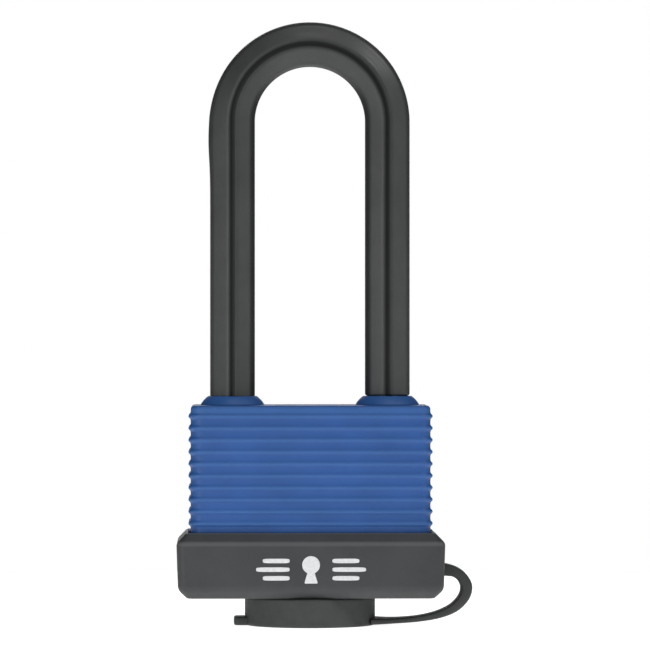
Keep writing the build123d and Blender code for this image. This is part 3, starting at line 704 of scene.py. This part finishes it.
# How far in from the outside the upper edges get the painted highlight.
HIGHLIGHT_REACH = 2.3
CORNER_SHRINK = 0.4
SIDE_DRAFT = 0.4
COVER_CORNER, COVER_LEAST_CORNER = 1.5, 0.7
COVER_MOUTH_X = 23.8
SEAT_REACH = 0.9
COVER_SEAT = 13.2
FLOOR_THICK = 2.2
COLLAR_OUT, COLLAR_IN = 10.65, 8.65
COLLAR_ROUND = 0.3
BODY_GAP = 0.1
POCKET_CORNER = 0.8
body_x, body_y = np.array(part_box("lock_body")[1][:2]) / MM
floor_z = COVER_BOTTOM + FLOOR_THICK
print(f"cover {2 * cover_x:.1f} by {2 * cover_y:.1f} mm, {COVER_TOP - COVER_BOTTOM:.1f} mm tall")


# %% Rounded outline
LEG_SHARE = 0.48  # the most of a leg that one corner's curve may take
GUARD_SHARE = 0.25  # how far past the curve, as a share of its reach, a point keeps the leg flat


def rounded_corners(corners, radii, steps=5):
    """Every corner of an open polyline is replaced by a quadratic curve: it leaves one leg a radius
    before the corner, is drawn towards the corner, and joins the other leg a radius after it. Also
    gives each point a number, nearly 1 at a corner's middle and 0 away from the corners."""
    corners = np.array(corners, dtype=float)
    radii = np.broadcast_to(radii, len(corners) - 2)
    line, sharp = [corners[0]], [0.0]
    t = np.linspace(0, 1, steps)[:, None]
    for before, corner, after, radius in zip(corners[:-2], corners[1:-1], corners[2:], radii):
        into, out = before - corner, after - corner
        into_length, out_length = np.linalg.norm(into), np.linalg.norm(out)
        reach = min(radius, into_length * LEG_SHARE, out_length * LEG_SHARE)
        start = corner + into / into_length * reach
        end = corner + out / out_length * reach
        guard_in = start + into / into_length * reach * GUARD_SHARE
        guard_out = end + out / out_length * reach * GUARD_SHARE
        curve = (1 - t) ** 2 * start + 2 * t * (1 - t) * corner + t ** 2 * end
        line += [guard_in, *curve, guard_out]
        sharp += [0.0, *np.sin(pi * (t[:, 0] * 0.8 + 0.1)), 0.0]
    return np.array(line + [corners[-1]]), np.array(sharp + [0.0])


# %% Cover piece
mouth = COVER_MOUTH_X - cover_x
outline, sharp = rounded_corners([
    (mouth - SEAT_REACH, COVER_SEAT), (mouth, COVER_SEAT), (mouth, COVER_TOP), (-TOP_CHAMFER, COVER_TOP),
    (0, COVER_TOP - TOP_CHAMFER), (0, COVER_BOTTOM + BASE_CHAMFER), (-BASE_CHAMFER, COVER_BOTTOM),
    (-BASE_CHAMFER - UNDERSIDE_REACH, COVER_BOTTOM),
], [SEAT_ROUND, EDGE_ROUND, EDGE_ROUND, EDGE_ROUND, BASE_ROUND, EDGE_ROUND])
rows, edge_highlight = [], []
for (inset, z), sharpness in zip(outline, sharp):
    low_share = 1 - np.clip((z - COVER_BOTTOM) / (COVER_TOP - COVER_BOTTOM), 0, 1)
    corner = max(COVER_CORNER + inset * CORNER_SHRINK, COVER_LEAST_CORNER)
    loop = rounded_loop(cover_x + inset - SIDE_DRAFT * low_share, cover_y + inset, corner)
    rows.append(level(loop, z))
    # Only the upper edges near the outside get the painted highlight.
    takes_highlight = low_share < 0.5 and inset > -HIGHLIGHT_REACH
    edge_highlight.append(sharpness if takes_highlight else 0.0)
last = rows[-1][:, :2]
bearing = last / np.linalg.norm(last, axis=1, keepdims=True)
collar_foot = bearing * (COLLAR_OUT + COLLAR_MARGIN)
for share in (0.05, 0.5, 0.95):
    rows.append(level(last * (1 - share) + collar_foot * share, COVER_BOTTOM))
ring_line, _ = rounded_corners([
    (COLLAR_OUT + COLLAR_MARGIN, COVER_BOTTOM), (COLLAR_OUT, COVER_BOTTOM), (COLLAR_OUT, cover_low[2]),
    (COLLAR_IN, cover_low[2]), (COLLAR_IN, floor_z), (COLLAR_IN + PORT_MARGIN, floor_z),
], COLLAR_ROUND)
rows += [level(bearing * ring_radius, z) for ring_radius, z in ring_line]
floor_loop = rounded_loop(body_x + BODY_GAP, body_y + BODY_GAP, POCKET_CORNER)
rows += [level(floor_loop, floor_z), level(floor_loop, COVER_SEAT)]
edge_highlight += [0.0] * (len(rows) - len(edge_highlight))
make_piece("base_cover_moulding", [(np.stack(rows), True, True)], black_moulding, "lock_body",
           ("base_cover",), detail=[np.array(edge_highlight)[:, None]])

# %% [markdown]
# ## Printed mark
#
# Such a cover carries a pad-printed mark in pale ink. This one is generic: a keyhole between two
# sets of three bars. An image texture would be quicker, but it would bring a file with it. Ink is a
# real layer, 0.06 mm here so that it shows, so each shape is a low dome: its outline drawn in towards
# a centre, with the height falling off only at the rim.

# %% Pale ink
pale_ink, tree, shader = new_finish("pad-printed pale ink", IOR=1.5, Specular_IOR_Level=0.4)
where = lock_millimetres(tree)
ink_tone = shade(tree, grain(tree, where, 0.5, 5.0), linear("d6d7d8"), linear("e4e5e6"), 0.3, 0.6)
ink_gloss = spread(tree, grain(tree, where, 0.8, 3.0), 0.3, 0.7, 0.38, 0.5)
ink_grain = relief(tree, grain(tree, where, 0.25, 3.0), 0.006)
drive(tree, shader, Base_Color=ink_tone, Roughness=ink_gloss, Normal=ink_grain)
print("pale ink:", len(tree.nodes), "nodes")

# %% Ink shapes
MARK_Z = 11.6
INK = 0.06
INK_ROOT = 0.05  # how far a print goes into the face, so that no gap shows under its rim
face_y = -cover_y


def ink_shape(outline_xz, centre_xz):
    """A print is its outline drawn in towards a centre by shares from 1 to 0. It starts inside the face,
    rises to the ink's thickness over the outer fifth, and is closed by a point inside the face."""
    shares = np.array([1.0, 1.0, 0.97, 0.92, 0.8, 0.5, 0.0])
    stand_off = np.array([-INK_ROOT, 0.0, INK * 0.55, INK * 0.9, INK, INK, INK])
    ring = centre_xz + (outline_xz[None] - centre_xz) * shares[:, None, None]
    y = np.broadcast_to(face_y - stand_off[:, None], ring.shape[:2])
    top = np.stack([ring[..., 0], y, ring[..., 1]], axis=-1)
    root = np.array([centre_xz[0], face_y + INK_ROOT, centre_xz[1]])
    return np.concatenate([np.broadcast_to(root, (1, len(outline_xz), 3)), top])


def squircle(turn, power):
    """A circle pushed towards a square: the cosine and the sine, each raised to 2 / power and keeping
    its sign."""
    return [np.sign(wave) * np.abs(wave) ** (2 / power) for wave in (np.cos(turn), np.sin(turn))]


# %% Keyhole and bars
BOW_RISE, BOW_RADIUS = 0.9, 1.75
SKIRT_DEPTH, SKIRT_REACH = 2.75, 0.487
SKIRT_LEAN = np.array([0.956, 0.2925])  # the direction square to the skirt's right side
BAR_HALF_LENGTH, BAR_HALF_WIDTH, BAR_PITCH, BAR_START = 3.3, 0.45, 1.7, 4.2
SHORT_BAR = 0.8
NEVER = 1e-3  # keeps a ray that misses a line from dividing by nothing

turn = np.linspace(0, 2 * pi, 120, endpoint=False)
bar = np.stack(squircle(turn, 5.0), axis=1) * (BAR_HALF_LENGTH, BAR_HALF_WIDTH)
# The keyhole is drawn from its middle: each ray goes out to the round bow, or below the middle to the
# nearer of the skirt's side and its foot, whichever of the two is further.
ray = np.stack([np.cos(turn), np.sin(turn)], axis=1)
to_bow = BOW_RISE * ray[:, 1] + np.sqrt(BOW_RADIUS ** 2 - (BOW_RISE * ray[:, 0]) ** 2)
to_side = SKIRT_REACH / np.maximum(np.abs(ray[:, 0]) * SKIRT_LEAN[0] + ray[:, 1] * SKIRT_LEAN[1], NEVER)
to_foot = SKIRT_DEPTH / np.maximum(-ray[:, 1], NEVER)
keyhole = ray * np.maximum(to_bow, np.minimum(to_side, to_foot) * (ray[:, 1] < 0))[:, None]
ink_grids = [(ink_shape(keyhole + (0, MARK_Z), np.array([0, MARK_Z])), False, True)]
for side in (-1, 1):
    for row, reach in ((1, SHORT_BAR), (0, 1.0), (-1, SHORT_BAR)):
        place = np.array([side * (BAR_START + BAR_HALF_LENGTH * reach), MARK_Z + row * BAR_PITCH])
        ink_grids.append((ink_shape(bar * (reach, 1) + place, place), False, True))
make_piece("cover_mark", ink_grids, pale_ink, "lock_body")

# %% [markdown]
# ## Moulded rubber
#
# The cap and its strap are one black rubber moulding, soft enough to bend back. Rubber is duller than
# the cover: hardly any mirror, a slight bloom that lifts its colour, and dust that clings. High
# roughness and two sizes of mottle give that.

# %% Black rubber
black_rubber, tree, shader = new_finish("moulded black rubber", IOR=1.52, Specular_IOR_Level=0.35)
where = lock_millimetres(tree)
bloom = grain(tree, where, 4.5, 5.0)
rubber_tone = shade(tree, bloom, linear("383a39"), linear("3e403f"))
dusty = spread(tree, grain(tree, where, 1.2, 4.0), 0.3, 0.7, 0.58, 0.72)
rubber_grain = relief(tree, grain(tree, where, 0.3, 4.0), 0.012)
drive(tree, shader, Base_Color=rubber_tone, Roughness=dusty, Normal=rubber_grain)
print("black rubber:", len(tree.nodes), "nodes")

# %% [markdown]
# ## The keyway cap
#
# The cap is turned in its mould, so it is a surface of revolution: a profile spun about the key's
# axis. Its skirt grips the collar outside and its spigot seals the port inside. The pull tab is a
# flat tongue with rounded edges that starts inside the cap's wall.

# %% Cap
CAP_RADIUS = 12.95
CAP_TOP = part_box("keyway_cap")[1][2] / MM
CAP_FLOOR = 1.5
CAP_ROUND = 0.45
SKIRT_MOUTH, SKIRT_ROOT = 10.78, 10.75
SPIGOT_OUT, SPIGOT_IN, SPIGOT_TOP = 8.55, 7.15, 4.1
SPIN_STEPS = 160

cap_line, _ = rounded_corners([
    (0, 0), (CAP_RADIUS, 0), (CAP_RADIUS, CAP_TOP), (SKIRT_MOUTH, CAP_TOP), (SKIRT_ROOT, CAP_FLOOR),
    (SPIGOT_OUT, CAP_FLOOR), (SPIGOT_OUT, SPIGOT_TOP), (SPIGOT_IN, SPIGOT_TOP), (SPIGOT_IN, CAP_FLOOR),
    (0, CAP_FLOOR),
], CAP_ROUND)
spin = np.linspace(0, 2 * pi, SPIN_STEPS, endpoint=False)
cap_points = np.stack([cap_line[:, :1] * np.cos(spin), cap_line[:, :1] * np.sin(spin),
                       np.broadcast_to(cap_line[:, 1:], (len(cap_line), SPIN_STEPS))], axis=-1)


def flat_tongue(middle_x, half_x, half_y, corner, thickness, edge):
    """A plate with a rounded outline and rounded edges: loops inset by edge * (1 - cos a) while a goes
    from a quarter turn below level to a quarter turn above, closed by shrinking to the centre line."""
    a = np.linspace(-pi / 2, pi / 2, 9)
    shut = min(half_x, half_y)
    insets = np.concatenate([[shut], edge * (1 - np.cos(a)), [shut]])
    middle = thickness / 2
    heights = np.concatenate([[0], middle + (middle - edge) * np.sign(a) + edge * np.sin(a), [thickness]])
    rings = []
    for inset, height in zip(insets, heights):
        loop = rounded_loop(half_x - inset, half_y - inset, max(corner - inset, 0.01))
        rings.append(level(loop + (middle_x, 0), height))
    return np.stack(rings)


TAB_X = -12.65
TAB_LIFT = 0.05  # keeps the tab's underside off the cap's, which would flicker in the same plane
tab = flat_tongue(TAB_X, half_x=2.5, half_y=3.5, corner=1.0, thickness=1.65, edge=0.4)
tab = tab + (0, 0, TAB_LIFT)
make_piece("keyway_cap_rubber", [(cap_points, False, True), (tab, False, True)], black_rubber,
           "keyway_cap", ("keyway_cap",))

# %% [markdown]
# ## The tether strap
#
# The strap leaves the cap as a broad flat root, narrows, sweeps up and over in an open hook, and
# thickens into a neck that is trapped in the cover's wall. It is a rounded-rectangle section carried
# along a smooth line, and its width and thickness change on the way.

# %% Strap line
# Stops from the cover's wall to inside the cap: place, thickness and width.
strap_x = np.array([25.6, 27.2, 28.9, 30.3, 31.1, 30.6, 28.6, 25.4, 21.3, 16.5, 12.0])
strap_z = np.array([10.95, 10.9, 10.45, 9.35, 7.6, 5.5, 3.4, 2.0, 1.2, 0.85, 0.8])
strap_thick = np.array([2.5, 2.4, 2.1, 2.15, 2.35, 2.2, 1.9, 1.5, 1.2, 1.15, 1.4])
strap_wide = np.array([6.0, 6.0, 6.0, 6.0, 6.0, 6.0, 6.0, 6.0, 6.2, 7.4, 12.0])


def smooth_through(values, count):
    """A Catmull-Rom curve: between two stops it is a cubic whose slope at each is half the step
    between that stop's neighbours."""
    padded = np.concatenate([[2 * values[0] - values[1]], values, [2 * values[-1] - values[-2]]])
    place = np.linspace(0, len(values) - 1 - 1e-9, count)
    i = place.astype(int)
    t = place - i
    a, b, c, d = padded[i], padded[i + 1], padded[i + 2], padded[i + 3]
    square = 2 * a - 5 * b + 4 * c - d
    cube = 3 * b - a - 3 * c + d
    return 0.5 * (2 * b + (c - a) * t + square * t ** 2 + cube * t ** 3)


STATIONS = 120
x, z, thick, wide = [smooth_through(v, STATIONS) for v in (strap_x, strap_z, strap_thick, strap_wide)]
run = np.stack([np.gradient(x), np.gradient(z)], axis=1)
run /= np.linalg.norm(run, axis=1, keepdims=True)
across = np.stack([-run[:, 1], run[:, 0]], axis=1)

# %% Strap piece
AROUND = 48
STRAP_SQUARENESS = 5.0
STRAP_LOWEST = 0.02  # the strap lies this far off the table where it meets the cap

around = np.linspace(0, 2 * pi, AROUND, endpoint=False)
unit_y, unit_n = squircle(around, STRAP_SQUARENESS)
strap_grid = np.stack([
    x[:, None] + across[:, :1] * unit_n * thick[:, None] / 2,
    unit_y * wide[:, None] / 2,
    z[:, None] + across[:, 1:] * unit_n * thick[:, None] / 2,
], axis=-1)
strap_grid[..., 2] = np.maximum(strap_grid[..., 2], STRAP_LOWEST)
ends = [np.broadcast_to(strap_grid[k].mean(axis=0), (1, AROUND, 3)) for k in (0, -1)]
strap_grid = np.concatenate([ends[0], strap_grid, ends[1]])
strap = make_piece("tether_strap", [(strap_grid, False, True)], black_rubber, None,
                   ("cap_tether",))
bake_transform(strap)

# %% [markdown]
# ## Metals inside
#
# With the cap off, the brass plug shows in its port, and with the shackle up, the bare bar shows. The
# CAD shapes are right, so they only need finishes. Turned brass carries fine rings about the key's
# axis, and a plated bar has a close satin grain along its length. A metal's colour is its base
# colour, and it keeps the shader's own index of refraction.

# %% Brass
brass, tree, shader = new_finish("turned brass", Metallic=1.0)
where = lock_millimetres(tree)
brass_tone = shade(tree, grain(tree, where, 3.0, 4.0), linear("b8964f"), linear("cbab62"))
rings = add(tree, "TexWave", {"Vector": where, "Scale": 2.2, "Distortion": 0.6, "Detail": 2.0},
            wave_type="RINGS", rings_direction="Z").outputs["Fac"]
drive(tree, shader, Base_Color=brass_tone, Roughness=spread(tree, rings, 0.0, 1.0, 0.24, 0.36),
      Normal=relief(tree, rings, 0.002))

# %% Steels
# A bar, drawn, hardened and plated: bright, with fine scratches along its length.
plated_bar, tree, shader = new_finish("plated hardened steel bar", Metallic=1.0)
where = lock_millimetres(tree)
stretched = add(tree, "VectorMath", {0: where, 1: (1, 1, 0.05)}, operation="MULTIPLY").outputs[0]
scratch = grain(tree, stretched, 0.3, 4.0)
bar_tone = shade(tree, scratch, linear("8e9093"), linear("a9abae"))
drive(tree, shader, Base_Color=bar_tone, Roughness=spread(tree, scratch, 0.3, 0.7, 0.28, 0.42),
      Normal=relief(tree, scratch, 0.003))

# Turned steel under a few microns of zinc: paler, with the faint mottle of the plating bath.
zinc_steel, tree, shader = new_finish("zinc-plated turned steel", Metallic=1.0)
where = lock_millimetres(tree)
zinc_tone = shade(tree, grain(tree, where, 1.5, 5.0), linear("a4a8ab"), linear("bfc2c4"))
zinc_gloss = spread(tree, grain(tree, where, 0.7, 3.0), 0.3, 0.7, 0.3, 0.45)
zinc_grain = relief(tree, grain(tree, where, 0.2, 3.0), 0.002)
drive(tree, shader, Base_Color=zinc_tone, Roughness=zinc_gloss, Normal=zinc_grain)

# Cold-drawn wire: smooth and even, a little darker than the plated pieces.
spring_wire, tree, shader = new_finish("drawn spring wire", Metallic=1.0)
where = lock_millimetres(tree)
wire_tone = shade(tree, grain(tree, where, 0.5, 3.0), linear("8f8f90"), linear("a8a8a8"))
wire_gloss = spread(tree, grain(tree, where, 0.3, 2.0), 0.3, 0.7, 0.25, 0.35)
drive(tree, shader, Base_Color=wire_tone, Roughness=wire_gloss)
print("four metals finished")

# %% Finishes for the CAD pieces
finish_of = {
    "brass": brass,
    "blackened_hardened_steel": plated_bar,
    "zinc_plated_steel": zinc_steel,
    "spring_steel": spring_wire,
    "blue_vinyl_jacket": blue_vinyl,
    "black_vinyl_sleeve": black_vinyl,
    "black_moulded_cover": black_moulding,
    "black_rubber_cap": black_rubber,
}
for part in frame["record"]["subparts"]:
    for holder in frame["nodes"][part["node"]].material_slots:
        holder.material = finish_of[part["material_slot"]]

# %% [markdown]
# ## Floor
#
# The lock stands on its cap on a small round white table. It glows a little, so that it stays white
# under soft lamps, and it ends not far away, so that the lock's upright edges mirror the dim room and
# stay dark.

# %% Table top
TABLE_RADIUS = 220.0
TABLE_DROP = 0.05  # just under the cap, so that the two don't share a plane
TABLE_STEPS = 96

share = np.array([0.0, 0.3, 1.0])[:, None]
table_turn = np.linspace(0, 2 * pi, TABLE_STEPS, endpoint=False)
table_points = np.stack([TABLE_RADIUS * share * np.cos(table_turn), TABLE_RADIUS * share * np.sin(table_turn),
                         np.full((len(share), TABLE_STEPS), -TABLE_DROP)], axis=-1)
white_table, tree, shader = new_finish("white lacquered table", Roughness=0.7,
                                       Emission_Color=WHITE, Emission_Strength=0.9)
table_tone = shade(tree, grain(tree, lock_millimetres(tree), 60.0, 2.0), linear("f6f6f6"), linear("fbfbfb"))
drive(tree, shader, Base_Color=table_tone)
table_top = make_piece("table_top", [(table_points, False, True)], white_table, None)
